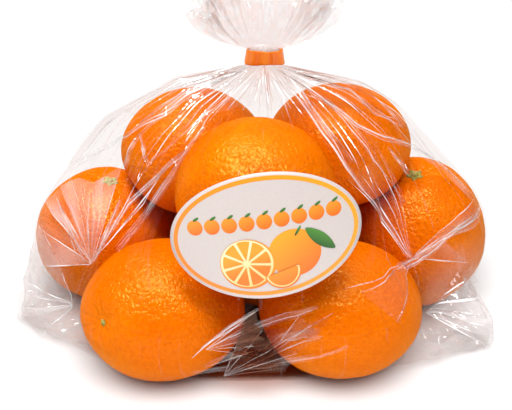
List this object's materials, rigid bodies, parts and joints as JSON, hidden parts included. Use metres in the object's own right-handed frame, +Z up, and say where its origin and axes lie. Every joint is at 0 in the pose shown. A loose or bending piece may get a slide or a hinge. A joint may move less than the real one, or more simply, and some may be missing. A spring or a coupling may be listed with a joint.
{
  "type": "film bag of oranges",
  "caption": "Clear film bag of oranges, gathered at the neck by a band of tape, with crumpled bottom corners and an oval label on its front.",
  "frame": {"origin": "middle of the bag's outline on the surface that it rests on", "axes": "+Z up, X along the bag's length from one bottom corner to the other, the label faces -Y"},
  "size_m": [0.2518, 0.2106, 0.1873],
  "materials": {
    "film": "clear thin plastic film, crinkled, glossy",
    "peel": "orange peel, pebbled, slightly waxy",
    "stem": "dry green calyx",
    "tape": "glossy orange plastic tape",
    "label": "printed satin paper, off-white with an orange ring"
  },
  "bodies": {
    "root": {"bag": "film", "neck_tape": "tape", "label": "label"}
  },
  "joints": []
}
